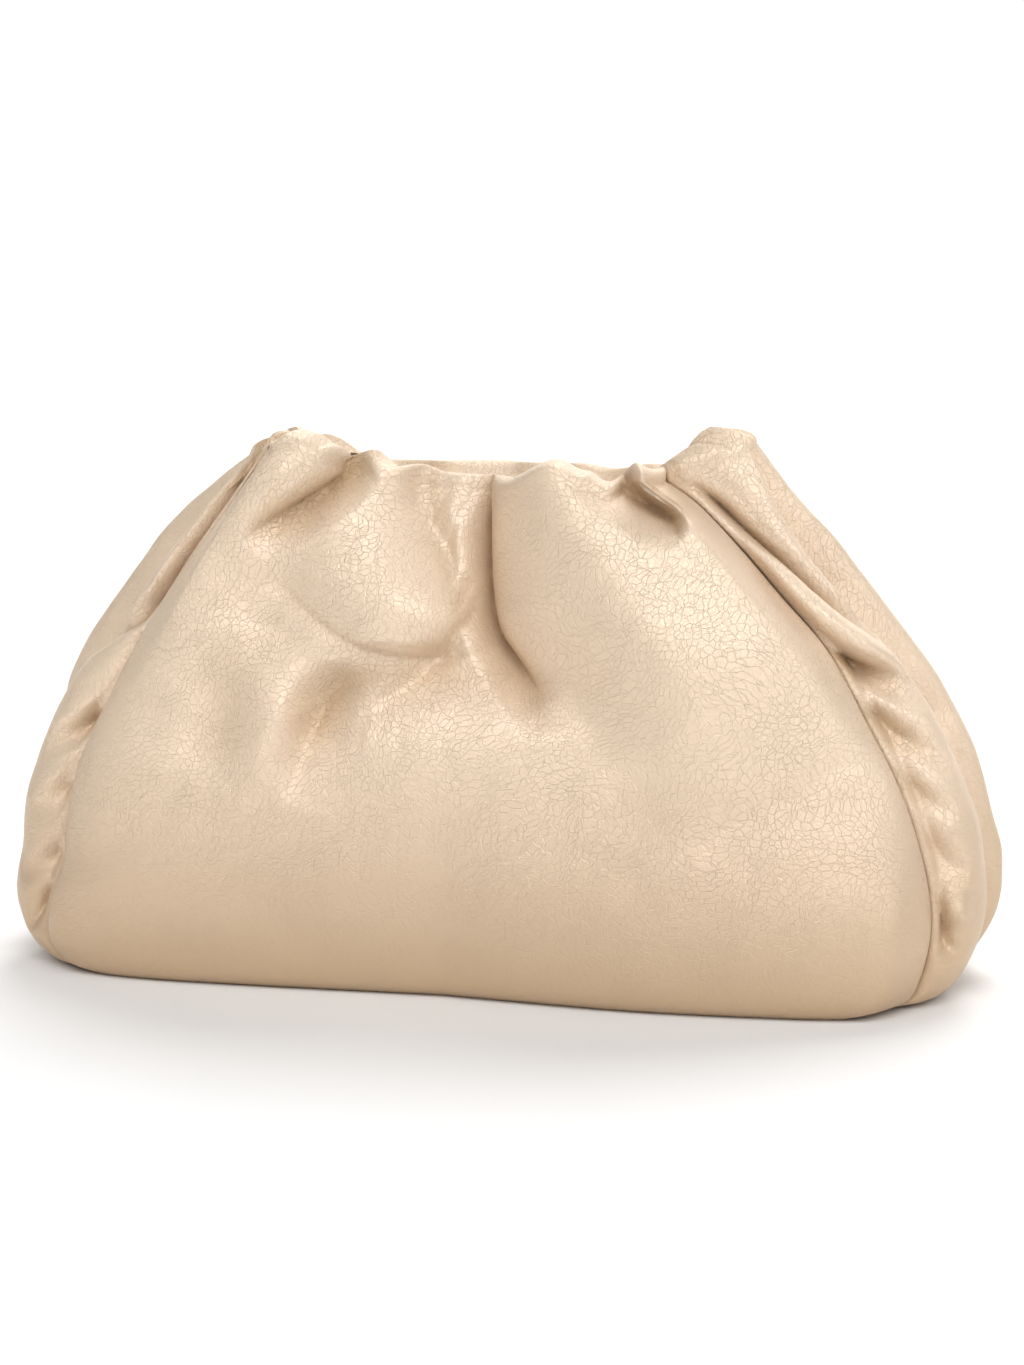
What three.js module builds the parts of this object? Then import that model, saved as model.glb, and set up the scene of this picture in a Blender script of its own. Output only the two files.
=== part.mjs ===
// A soft leather clutch pouch, gathered onto a slim hidden frame, in millimetres.
// +X runs along the mouth, +Y from the front to the back, +Z up.
// The origin is on the floor, under the middle of the bag.
import * as THREE from "three";

// Driving dimensions.
const bagWidth = 384; // across the two side lobes
const bagHeight = 210; // from the floor to the tips of the gathered ears
const bagDepth = 130; // from belly to belly, front to back
const leatherWall = 2;
const seamGap = 0.7; // between the edges of two sewn pieces
const slotWidth = 8; // the mouth, between the front rim and the back rim
const slotLength = 132; // the mouth, from one ear to the other
const slotMiddle = -6; // the mouth sits a little to the left
const rollWidth = 9; // the rim, turned over the frame, measured across the top
const rollRise = 5.5; // from the rim's side up to its top
const hemDrop = 15; // how far the rim runs down inside
const frameHeight = 9;
const frameDip = 2.5; // from the side of the rim's roll down to the frame
const frameClearance = 0.5; // between the frame and the leather round it
const flatBand = 0.1; // below this height the leather lies flat on the floor

// How finely each piece is divided.
const faceColumns = 36;
const backColumns = 22;
const sideColumns = 16;
const baseRows = 2;
const bodyRows = 23;
const rollRows = 4;
const hemRows = 2;

const halfWidth = bagWidth / 2;
const halfDepth = bagDepth / 2;

// Sections of the bag from the floor to the rim, one row for each level.
// side is a share of half the width, out a share of half the depth, up a share of the height.
// face: the middle of the front and back; seam: where a face meets the side;
// lobe: the outermost line of the side's front and back lobes; tuck: the valley between them.
const faceSections = [
  { out: 0.87, up: 0.0 },
  { out: 0.95, up: 0.02 },
  { out: 0.985, up: 0.07 },
  { out: 1, up: 0.15 },
  { out: 0.99, up: 0.235 },
  { out: 0.95, up: 0.33 },
  { out: 0.875, up: 0.43 },
  { out: 0.77, up: 0.53 },
  { out: 0.65, up: 0.63 },
  { out: 0.52, up: 0.72 },
  { out: 0.4, up: 0.79 },
  { out: 0.3, up: 0.85 },
  { out: 0.235, up: 0.89 },
];
const rightSections = [
  { seam: 0.79, seamOut: 0.72, seamUp: 0, lobe: 0.79, lobeUp: 0, back: 0.79, tuck: 0.79 },
  { seam: 0.85, seamOut: 0.7, seamUp: 0.02, lobe: 0.89, lobeUp: 0.005, back: 0.9, tuck: 0.87 },
  { seam: 0.875, seamOut: 0.67, seamUp: 0.065, lobe: 0.94, lobeUp: 0.04, back: 0.955, tuck: 0.9 },
  { seam: 0.89, seamOut: 0.64, seamUp: 0.135, lobe: 0.98, lobeUp: 0.12, back: 1, tuck: 0.92 },
  { seam: 0.885, seamOut: 0.61, seamUp: 0.205, lobe: 0.985, lobeUp: 0.205, back: 1.01, tuck: 0.91 },
  { seam: 0.86, seamOut: 0.58, seamUp: 0.295, lobe: 0.97, lobeUp: 0.305, back: 0.985, tuck: 0.88 },
  { seam: 0.82, seamOut: 0.55, seamUp: 0.39, lobe: 0.925, lobeUp: 0.42, back: 0.945, tuck: 0.83 },
  { seam: 0.755, seamOut: 0.5, seamUp: 0.5, lobe: 0.86, lobeUp: 0.53, back: 0.885, tuck: 0.76 },
  { seam: 0.68, seamOut: 0.45, seamUp: 0.62, lobe: 0.77, lobeUp: 0.64, back: 0.8, tuck: 0.68 },
  { seam: 0.585, seamOut: 0.39, seamUp: 0.715, lobe: 0.675, lobeUp: 0.73, back: 0.725, tuck: 0.6 },
  { seam: 0.5, seamOut: 0.33, seamUp: 0.8, lobe: 0.6, lobeUp: 0.81, back: 0.655, tuck: 0.54 },
  { seam: 0.42, seamOut: 0.27, seamUp: 0.87, lobe: 0.545, lobeUp: 0.89, back: 0.575, tuck: 0.5 },
  { seam: 0.35, seamOut: 0.22, seamUp: 0.91, lobe: 0.5, lobeUp: 0.965, back: 0.51, tuck: 0.48 },
];
const leftSections = [
  { seam: 0.79, seamOut: 0.72, seamUp: 0, lobe: 0.79, lobeUp: 0, back: 0.79, tuck: 0.79 },
  { seam: 0.85, seamOut: 0.7, seamUp: 0.02, lobe: 0.9, lobeUp: 0.005, back: 0.9, tuck: 0.87 },
  { seam: 0.885, seamOut: 0.67, seamUp: 0.065, lobe: 0.965, lobeUp: 0.05, back: 0.96, tuck: 0.91 },
  { seam: 0.88, seamOut: 0.64, seamUp: 0.135, lobe: 0.99, lobeUp: 0.12, back: 0.99, tuck: 0.92 },
  { seam: 0.855, seamOut: 0.61, seamUp: 0.205, lobe: 0.98, lobeUp: 0.205, back: 0.985, tuck: 0.9 },
  { seam: 0.845, seamOut: 0.58, seamUp: 0.295, lobe: 0.965, lobeUp: 0.305, back: 0.985, tuck: 0.87 },
  { seam: 0.82, seamOut: 0.55, seamUp: 0.39, lobe: 0.92, lobeUp: 0.42, back: 0.965, tuck: 0.84 },
  { seam: 0.765, seamOut: 0.5, seamUp: 0.5, lobe: 0.86, lobeUp: 0.53, back: 0.925, tuck: 0.79 },
  { seam: 0.7, seamOut: 0.45, seamUp: 0.62, lobe: 0.76, lobeUp: 0.64, back: 0.85, tuck: 0.71 },
  { seam: 0.64, seamOut: 0.39, seamUp: 0.715, lobe: 0.69, lobeUp: 0.73, back: 0.77, tuck: 0.64 },
  { seam: 0.58, seamOut: 0.32, seamUp: 0.8, lobe: 0.62, lobeUp: 0.81, back: 0.7, tuck: 0.6 },
  { seam: 0.52, seamOut: 0.25, seamUp: 0.87, lobe: 0.56, lobeUp: 0.88, back: 0.61, tuck: 0.56 },
  { seam: 0.455, seamOut: 0.2, seamUp: 0.92, lobe: 0.5, lobeUp: 0.935, back: 0.53, tuck: 0.5 },
];
const lobeOut = 0.3; // the lobes' outermost lines lie this share of half the depth from the middle
const ridgePower = 6; // how square the faces' level sections are

// The rim's top line, seen from the front.
const frontRim = [
  { side: -0.42, up: 0.985 },
  { side: -0.38, up: 1.0 },
  { side: -0.34, up: 0.99 },
  { side: -0.3, up: 0.968 },
  { side: -0.27, up: 0.943 },
  { side: -0.234, up: 0.957 },
  { side: -0.18, up: 0.93 },
  { side: -0.145, up: 0.933 },
  { side: -0.09, up: 0.917 },
  { side: 0, up: 0.914 },
  { side: 0.06, up: 0.914 },
  { side: 0.15, up: 0.948 },
  { side: 0.19, up: 0.935 },
  { side: 0.23, up: 0.916 },
  { side: 0.275, up: 0.945 },
  { side: 0.33, up: 0.936 },
];
const backRim = [
  { side: -0.42, up: 0.97 },
  { side: -0.36, up: 0.975 },
  { side: -0.25, up: 0.93 },
  { side: -0.05, up: 0.929 },
  { side: 0.15, up: 0.929 },
  { side: 0.22, up: 0.92 },
  { side: 0.33, up: 0.936 },
];

// Folds, each along a curve from one point past a second to a third. A point is a share along and
// a share of the height: along is a share of half the width on a face, of half the depth on a side.
// rise is a share of the bag's depth, negative for a valley. reach is how far it spreads to either
// side of its way, as a share of the width. fade is how much of its two ends dies away.
const frontFolds = [
  { from: [0.01, 1.02], via: [0, 0.7], to: [0.16, 0.48], rise: -0.1, reach: 0.0525, fade: [0, 0.4] },
  { from: [0.15, 1], via: [0.24, 0.8], to: [0.56, 0.46], rise: 0.09, reach: 0.12, fade: [0, 0.6] },
  { from: [-0.24, 1], via: [-0.24, 0.84], to: [-0.12, 0.7], rise: 0.065, reach: 0.08, fade: [0, 0.4] },
  { from: [-0.5, 0.72], via: [-0.28, 0.6], to: [-0.02, 0.6], rise: -0.06, reach: 0.055, fade: [0.7, 0.4] },
  { from: [-0.38, 0.4], via: [-0.34, 0.52], to: [-0.24, 0.6], rise: -0.035, reach: 0.05, fade: [0.5, 0.3] },
  { from: [-0.28, 0.5], via: [-0.08, 0.54], to: [0.12, 0.46], rise: 0.035, reach: 0.08, fade: [0.5, 0.5] },
  { from: [-0.28, 0.98], via: [-0.36, 0.89], to: [-0.48, 0.78], rise: -0.065, reach: 0.05, fade: [0, 0.8] },
  { from: [-0.4, 1], via: [-0.46, 0.86], to: [-0.62, 0.55], rise: 0.045, reach: 0.075, fade: [0, 0.6] },
  { from: [0.23, 0.97], via: [0.28, 0.9], to: [0.38, 0.81], rise: -0.055, reach: 0.045, fade: [0, 0.5] },
  { from: [0.1, 0], via: [0.5, 0], to: [0.85, 0.04], rise: 0.075, reach: 0.2, fade: [0.8, 0] },
];
const backFolds = [
  { from: [0.1, 1], via: [0.12, 0.75], to: [0.02, 0.55], rise: -0.07, reach: 0.06, fade: [0, 0.5] },
  { from: [-0.14, 1], via: [-0.18, 0.75], to: [-0.38, 0.5], rise: -0.06, reach: 0.06, fade: [0, 0.6] },
  { from: [-0.02, 1], via: [-0.04, 0.75], to: [-0.12, 0.55], rise: 0.055, reach: 0.09, fade: [0, 0.6] },
  { from: [0.25, 0.97], via: [0.3, 0.8], to: [0.45, 0.62], rise: -0.05, reach: 0.06, fade: [0, 0.6] },
  { from: [-0.1, 0], via: [-0.5, 0], to: [-0.85, 0.04], rise: 0.05, reach: 0.2, fade: [0.8, 0] },
];
const rightFolds = [
  { from: [-0.27, 0.92], via: [-0.4, 0.7], to: [-0.14, 0.64], rise: 0.05, reach: 0.04, fade: [0.4, 0.6] },
  { from: [-0.5, 0.66], via: [-0.4, 0.6], to: [-0.24, 0.6], rise: -0.06, reach: 0.035, fade: [0.1, 0.6] },
  { from: [-0.54, 0.5], via: [-0.44, 0.51], to: [-0.26, 0.45], rise: -0.05, reach: 0.0375, fade: [0.1, 0.6] },
  { from: [-0.2, 0.94], via: [-0.26, 0.82], to: [-0.2, 0.7], rise: -0.04, reach: 0.03, fade: [0.1, 0.5] },
  { from: [-0.64, 0.24], via: [-0.58, 0.18], to: [-0.42, 0.14], rise: -0.045, reach: 0.03, fade: [0.2, 0.5] },
  { from: [0.5, 0.62], via: [0.42, 0.58], to: [0.28, 0.58], rise: -0.05, reach: 0.035, fade: [0.1, 0.6] },
  { from: [0.58, 0.36], via: [0.48, 0.38], to: [0.3, 0.33], rise: -0.04, reach: 0.035, fade: [0.1, 0.6] },
];
const leftFolds = [
  { from: [-0.3, 0.9], via: [-0.38, 0.72], to: [-0.16, 0.62], rise: 0.04, reach: 0.04, fade: [0.4, 0.5] },
  { from: [-0.52, 0.58], via: [-0.44, 0.52], to: [-0.26, 0.5], rise: -0.04, reach: 0.035, fade: [0.1, 0.6] },
  { from: [-0.58, 0.43], via: [-0.5, 0.4], to: [-0.32, 0.37], rise: -0.03, reach: 0.03, fade: [0.1, 0.6] },
  { from: [-0.64, 0.28], via: [-0.58, 0.2], to: [-0.42, 0.16], rise: -0.045, reach: 0.03, fade: [0.2, 0.5] },
  { from: [0.5, 0.62], via: [0.42, 0.6], to: [0.28, 0.61], rise: -0.05, reach: 0.035, fade: [0.1, 0.6] },
  { from: [0.58, 0.4], via: [0.48, 0.38], to: [0.3, 0.4], rise: -0.04, reach: 0.035, fade: [0.1, 0.6] },
];

const clamp = (value, low, high) => Math.min(high, Math.max(low, value));
const mix = (a, b, share) => a + (b - a) * share;
const smooth = (value) => {
  const x = clamp(value, 0, 1);
  return x * x * (3 - 2 * x);
};

// A column of a table at any place between its rows, on a smooth curve through them.
function between(rows, column, place) {
  const at = clamp(place, 0, 1) * (rows.length - 1);
  const i = Math.min(rows.length - 2, Math.floor(at));
  const value = (k) => rows[clamp(k, 0, rows.length - 1)][column];
  const u = at - i;
  const [a, b, c, d] = [value(i - 1), value(i), value(i + 1), value(i + 2)];
  return b + 0.5 * u * (c - a + u * (2 * a - 5 * b + 4 * c - d + u * (3 * (b - c) + d - a)));
}

// The rim's height over a place along the bag, as a share of the height.
function rimUpAt(rim, side) {
  const i = clamp(rim.findIndex((row) => row.side > side) - 1, 0, rim.length - 2);
  const last = side >= rim[rim.length - 1].side ? rim.length - 2 : i;
  const [a, b] = [rim[last], rim[last + 1]];
  return mix(a.up, b.up, smooth((side - a.side) / (b.side - a.side)));
}

const sectionsOf = (sign) => (sign > 0 ? rightSections : leftSections);

// The seam between a face and the side, at a level from 0 on the floor to 1 at the rim.
function seamPoint(sign, toBack, level) {
  const rows = sectionsOf(sign);
  return new THREE.Vector3(
    sign * halfWidth * between(rows, "seam", level),
    toBack * halfDepth * between(rows, "seamOut", level),
    bagHeight * Math.max(0, between(rows, "seamUp", level)),
  );
}

// How far the folds lift a point that lies at the shares along and up.
function foldLift(folds, along, alongSize, up) {
  const pieces = 10;
  let lift = 0;
  for (const { from, via, to, rise, reach, fade } of folds) {
    let [nearest, place] = [Infinity, 0];
    let before = from;
    for (let k = 1; k <= pieces; k++) {
      const t = k / pieces;
      const after = from.map((a, n) => (1 - t) ** 2 * a + 2 * t * (1 - t) * via[n] + t * t * to[n]);
      const run = [(after[0] - before[0]) * alongSize, (after[1] - before[1]) * bagHeight];
      const off = [(along - before[0]) * alongSize, (up - before[1]) * bagHeight];
      const way = clamp((off[0] * run[0] + off[1] * run[1]) / (run[0] ** 2 + run[1] ** 2), 0, 1);
      const distance = Math.hypot(off[0] - way * run[0], off[1] - way * run[1]);
      if (distance < nearest) {
        nearest = distance;
        place = (k - 1 + way) / pieces;
      }
      before = after;
    }
    const profile = Math.max(0, 1 - (nearest / (reach * bagWidth)) ** 2) ** 2;
    const start = fade[0] > 0 ? smooth(place / fade[0]) : 1;
    const end = fade[1] > 0 ? smooth((1 - place) / fade[1]) : 1;
    lift += rise * bagDepth * profile * start * end;
  }
  return lift;
}

// The height at which the rim is as wide as its roll, on the inside.
const rimBase = bagHeight * Math.min(...frontRim.map((row) => row.up)) - rollRise;

// The roll over the frame and the hem inside: from the outer wall's top to the hem's lower edge.
function rimPoint(outer, innerX, innerY, place) {
  const arch = Math.min(place / 0.7, 1);
  const share = ((1 - Math.cos(Math.PI * arch)) / 2) ** 1.4;
  const crest = outer.z + rollRise * Math.sin(Math.PI * Math.min(arch, 0.5));
  const drop = Math.max(0, (place - 0.7) / 0.3);
  return new THREE.Vector3(
    mix(outer.x, innerX, share),
    mix(outer.y, innerY, share),
    mix(crest, rimBase, smooth(arch * 2 - 1)) - hemDrop * drop,
  );
}

// Where a column of a face lies between the two seams, closer together near them.
const crowded = (across) => across * (1.3 - 0.3 * across * across);

// A point of the front or back: across from -1 on the left seam to 1 on the right seam,
// level from 0 on the floor to 1 at the rim.
function facePoint(toBack, rim, folds, across, level) {
  const share = crowded(across);
  const onSeams = (at) => seamPoint(-1, toBack, at).lerp(seamPoint(1, toBack, at), (1 + share) / 2);
  const fullness = Math.sqrt(Math.max(0, 1 - Math.abs(share) ** ridgePower));
  const raised = (at) => mix(onSeams(at).z, bagHeight * between(faceSections, "up", at), fullness);
  const point = onSeams(level);
  point.y = mix(point.y, toBack * halfDepth * between(faceSections, "out", level), fullness);
  point.z = raised(level);
  const seamEase = smooth((1 - Math.abs(across)) * 4);
  const crestX = (onSeams(1).x + slotMiddle + (share * slotLength) / 2) / 2;
  const rimZ = bagHeight * rimUpAt(rim, crestX / halfWidth) - rollRise;
  point.z += (rimZ - raised(1)) * smooth((level - 0.72) / 0.28) * seamEase;
  const lift = foldLift(folds, point.x / halfWidth, halfWidth, point.z / bagHeight);
  const frameRoom = lift < 0 ? smooth((0.99 - level) * 5) : 1;
  point.y += toBack * lift * frameRoom * seamEase;
  return point;
}

// A point of a side: across from -1 on the front seam to 1 on the back seam.
function sidePoint(sign, across, level) {
  const rows = sectionsOf(sign);
  const toBack = across < 0 ? -1 : 1;
  const seam = seamPoint(sign, toBack, level);
  const lobe = sign * halfWidth * between(rows, toBack < 0 ? "lobe" : "back", level);
  const tuck = sign * halfWidth * between(rows, "tuck", level);
  const lobeZ = bagHeight * Math.max(0, between(rows, "lobeUp", level));
  const lobeY = toBack * Math.min(halfDepth * lobeOut, Math.abs(seam.y) * 0.6);
  const share = Math.abs(across);
  const turn = Math.PI * Math.min(share, 1 - share);
  const point = new THREE.Vector3(mix(tuck, lobe, Math.sin(turn) ** 1.6), lobeY * Math.sin(turn), lobeZ);
  const facing = new THREE.Vector3(sign, 0, 0);
  if (share > 0.5) {
    point.x = mix(seam.x, lobe, Math.sin(turn));
    point.y = mix(seam.y, lobeY, 1 - Math.cos(turn));
    point.z = mix(seam.z, lobeZ, Math.sin(turn));
    facing.set(sign * Math.sin(turn), toBack * Math.cos(turn), 0);
  }
  const folds = sign > 0 ? rightFolds : leftFolds;
  const lift = foldLift(folds, point.y / halfDepth, halfDepth, point.z / bagHeight);
  const edge = smooth((1 - share) * 5) * smooth((0.95 - level) * 8);
  return point.addScaledVector(facing, lift * edge);
}

// Evenly spaced places from one end to the other.
const steps = (count, from, to) =>
  Array.from({ length: count + 1 }, (_, i) => mix(from, to, i / count));

// The front or the back as rows of points: from the middle of the base, up, over the rim and down.
function faceGrid(toBack, rim, folds, columns) {
  const places = steps(columns, -1, 1);
  const body = steps(bodyRows, 0, 1).map((level) =>
    places.map((across) => facePoint(toBack, rim, folds, across, level)),
  );
  const base = steps(baseRows, 0, 1)
    .slice(0, -1)
    .map((share) => body[0].map((edge) => edge.clone().setY(edge.y * share)));
  const over = steps(rollRows + hemRows, 0, 1)
    .slice(1)
    .map((place) =>
      body[bodyRows].map((top, i) => {
        const innerX = slotMiddle + (crowded(places[i]) * slotLength) / 2;
        return rimPoint(top, innerX, (toBack * slotWidth) / 2, place);
      }),
    );
  const rows = [...base, ...body, ...over];
  return toBack < 0 ? rows : rows.map((row) => row.reverse());
}

// A side as rows of points: from its edge under the base, up round its lobes, over the ear and down.
function sideGrid(sign) {
  const places = steps(sideColumns, -1, 1);
  const body = steps(bodyRows, 0, 1).map((level) => places.map((across) => sidePoint(sign, across, level)));
  const over = steps(rollRows + hemRows, 0, 1)
    .slice(1)
    .map((place) =>
      body[bodyRows].map((top, i) => {
        const turn = (Math.PI / 2) * places[i];
        const innerX = slotMiddle + sign * (slotLength / 2 + (slotWidth / 2) * Math.cos(turn));
        return rimPoint(top, innerX, (slotWidth / 2) * Math.sin(turn), place);
      }),
    );
  const rows = [...body, ...over];
  return sign > 0 ? rows : rows.map((row) => row.reverse());
}

// The two triangles of each cell of a grid, by the places of its points.
function gridTriangles(rows, columns) {
  const triangles = [];
  for (let i = 0; i < (rows - 1) * columns; i++) {
    if ((i + 1) % columns === 0) continue;
    triangles.push([i, i + 1, i + columns + 1], [i, i + columns + 1, i + columns]);
  }
  return triangles;
}

// The way each point of a grid faces.
function gridFacings(grid) {
  const surface = new THREE.BufferGeometry().setFromPoints(grid.flat());
  surface.setIndex(gridTriangles(grid.length, grid[0].length).flat());
  surface.computeVertexNormals();
  const normals = surface.getAttribute("normal");
  return grid.flat().map((point, i) => {
    const onFloor = point.z < flatBand;
    return onFloor ? new THREE.Vector3(0, 0, -1) : new THREE.Vector3().fromBufferAttribute(normals, i);
  });
}

// A grid's point moved a little way in from the border, across the seam that runs along it.
function insetPoint(grid, row, column) {
  const at = (i, j) => grid[clamp(i, 0, grid.length - 1)][clamp(j, 0, grid[0].length - 1)];
  const point = at(row, column);
  const moved = point.clone();
  const inset = (along, towards) => {
    const way = towards.clone().sub(point);
    along.normalize();
    way.addScaledVector(along, -way.dot(along));
    moved.add(way.clampLength(0, seamGap / 2));
  };
  const down = at(row + 1, column).clone().sub(at(row - 1, column));
  const across = at(row, column + 1).clone().sub(at(row, column - 1));
  if (column === 0) inset(down, at(row, 1));
  if (column === grid[0].length - 1) inset(down, at(row, column - 1));
  if (row === 0) inset(across, at(1, column));
  return moved;
}

// A closed wall with the grid as its outer surface and a second surface one wall inside it.
function wallGeometry(grid, facings) {
  const [rows, columns] = [grid.length, grid[0].length];
  const outer = grid.flatMap((row, i) => row.map((_, j) => insetPoint(grid, i, j)));
  const inner = outer.map((point, i) => point.clone().addScaledVector(facings[i], -leatherWall));
  const shift = outer.length;
  const triangles = gridTriangles(rows, columns).flatMap(([a, b, c]) => [
    [a, b, c],
    [a + shift, c + shift, b + shift],
  ]);
  const border = [];
  for (let j = 0; j < columns - 1; j++) border.push(j);
  for (let i = 0; i < rows - 1; i++) border.push((i + 1) * columns - 1);
  for (let j = columns - 1; j > 0; j--) border.push((rows - 1) * columns + j);
  for (let i = rows - 1; i > 0; i--) border.push(i * columns);
  // The edge's cells are halved the same way on both sides of a seam.
  border.forEach((a, k) => {
    const b = border[(k + 1) % border.length];
    const [c, d] = [a + shift, b + shift];
    triangles.push(...(a < b ? [[a, c, d], [a, d, b]] : [[a, c, b], [c, d, b]]));
  });
  const wall = new THREE.BufferGeometry().setFromPoints([...outer, ...inner]);
  wall.setIndex(triangles.flat());
  wall.computeVertexNormals();
  return wall;
}

// The frame inside the rim: a flat bar bent into a long loop.
function frameGeometry() {
  const inner = slotWidth / 2 + leatherWall + frameClearance;
  const outer = slotWidth / 2 + rollWidth - leatherWall - frameClearance;
  const loop = (radius) => {
    const path = new THREE.Path();
    path.absarc(slotLength / 2, 0, radius, -Math.PI / 2, Math.PI / 2);
    path.absarc(-slotLength / 2, 0, radius, Math.PI / 2, (3 * Math.PI) / 2);
    return path.getPoints(5);
  };
  const bar = new THREE.Shape(loop(outer));
  bar.holes.push(new THREE.Path(loop(inner)));
  const geometry = new THREE.ExtrudeGeometry(bar, { depth: frameHeight, bevelEnabled: false });
  return geometry.translate(slotMiddle, 0, rimBase - frameDip - frameHeight);
}

const pearlLeather = new THREE.MeshStandardMaterial({ color: 0xdcc3a2, roughness: 0.42, metalness: 0.25 });
const frameMetal = new THREE.MeshStandardMaterial({ color: 0xb9a27c, roughness: 0.35, metalness: 0.9 });

const grids = {
  front_panel: faceGrid(-1, frontRim, frontFolds, faceColumns),
  back_panel: faceGrid(1, backRim, backFolds, backColumns),
  right_gusset: sideGrid(1),
  left_gusset: sideGrid(-1),
};

// Where two pieces meet along a seam both walls share one facing, so that their edges stay apart.
const sharedFacings = new Map();
const placeKey = (point) => point.toArray().map((value) => value.toFixed(2)).join(" ");
for (const grid of Object.values(grids)) {
  const facings = gridFacings(grid);
  grid.flat().forEach((point, i) => {
    const key = placeKey(point);
    const sum = sharedFacings.get(key) ?? new THREE.Vector3();
    sharedFacings.set(key, sum.add(facings[i]));
  });
}

const pouch = new THREE.Group();
Object.entries(grids).forEach(([name, grid]) => {
  const facings = grid.flat().map((point) => sharedFacings.get(placeKey(point)).clone().normalize());
  const mesh = new THREE.Mesh(wallGeometry(grid, facings), pearlLeather);
  mesh.name = name;
  pouch.add(mesh);
});

const frame = new THREE.Mesh(frameGeometry(), frameMetal);
frame.name = "clasp_frame";
pouch.add(frame);

// The origin goes under the middle of the whole bag.
const middle = new THREE.Box3().setFromObject(pouch).getCenter(new THREE.Vector3());
pouch.position.set(-middle.x, -middle.y, 0);

export default pouch;
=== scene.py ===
from math import cos, radians, sin

import bpy
import numpy as np
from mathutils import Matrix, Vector, noise


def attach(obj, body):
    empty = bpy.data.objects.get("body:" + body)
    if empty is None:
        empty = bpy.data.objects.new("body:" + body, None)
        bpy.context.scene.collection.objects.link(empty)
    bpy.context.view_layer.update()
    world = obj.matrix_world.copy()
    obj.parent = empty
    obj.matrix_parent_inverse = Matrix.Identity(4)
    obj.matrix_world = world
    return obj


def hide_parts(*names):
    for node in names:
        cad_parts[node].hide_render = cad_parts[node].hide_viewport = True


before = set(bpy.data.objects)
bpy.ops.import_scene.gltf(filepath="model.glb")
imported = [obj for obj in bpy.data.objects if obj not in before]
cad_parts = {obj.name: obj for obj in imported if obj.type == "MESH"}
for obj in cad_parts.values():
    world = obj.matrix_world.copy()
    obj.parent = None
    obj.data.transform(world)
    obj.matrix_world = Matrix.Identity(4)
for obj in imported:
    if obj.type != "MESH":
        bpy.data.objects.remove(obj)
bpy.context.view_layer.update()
print("frame loaded")

# Everything about the leather is worked out in millimetres and made into metres at the mesh.
bag = {
    "halfWidth": 192.0,
    "halfDepth": 65.0,
    "height": 210.0,
    "wall": 2.0,
    "slotWidth": 8.0,  # the mouth between the two rims
    "slotLength": 132.0,
    "slotMiddle": -6.0,
    "rollRise": 5.5,
    "hemDrop": 15.0,
    "lobeOut": 0.3,
    "sideRun": 52.0,  # from the middle of a side round to its seam
    "ridgePower": 6.0,
    "shift": (-1.85, 1.35),  # puts the origin under the middle of the bag
    "seamGroove": 2.6,  # how deep a sewn seam sinks between two pieces
    "seamRound": 5.0,  # how far the leather turns down into it
    "seamSlant": 0.707,  # its direction, halfway between the two faces
    "seamFoot": 6.0,  # the groove fades in over this height
    "seamTop": 205.0,  # and is gone up here
    "seamFade": 25.0,  # after fading out over this height
    "pathSteps": 32,  # straight pieces that a fold's path is cut into
    "pullPeak": 0.4,  # the share of a fold's reach where it pulls most
    "valleyShadeDepth": 12.0,  # a valley this deep gets the full painted shade
    "rimStart": 0.72,  # the level from which the gathered rim takes over
    "rimRoom": 0.3,  # how much of a valley is left in the rim itself
    "rollShare": 0.7,  # the roll's part of what is turned over, the rest being the hem
    "rimLevel": 0.99,  # where a valley has room for its full depth again, counted from here down
    "rollLean": 1.4,  # above 1 the roll leans outwards first
    "crowd": 0.3,  # how much closer the columns stand near the seams
    "lobeRoom": 0.6,  # a lobe's crest stays within this share of the way to the seam
    "valleyNarrow": 1.6,  # above 1 narrows the valley between the two lobes of a side
    "pleatHigh": 1.5,  # the small puffs of the ears' rims
    "pleatStart": 0.86,  # the level where they begin
    "faceUneven": (0.7, 30),  # height and width of the slow waves in a face
    "sideUneven": (0.8, 22),  # and in a side
    "wavesFrom": 20.0,  # the waves are full at this height
    "rippleLong": 4,  # how many times longer than wide a small wrinkle is
    "rippleSharp": 2.2,
    "rippleFade": 1.5,
}
fades = {  # how fast each one grows inwards from the edge, the whole way being 1
    "rimAtSeam": 4,
    "valleyAtRim": 7,
    "foldsAtFaceSeam": 6,
    "foldsAtSideSeam": 12,
    "foldsAtTop": 8,
    "pleatsAtSeam": 6,
}

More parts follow.
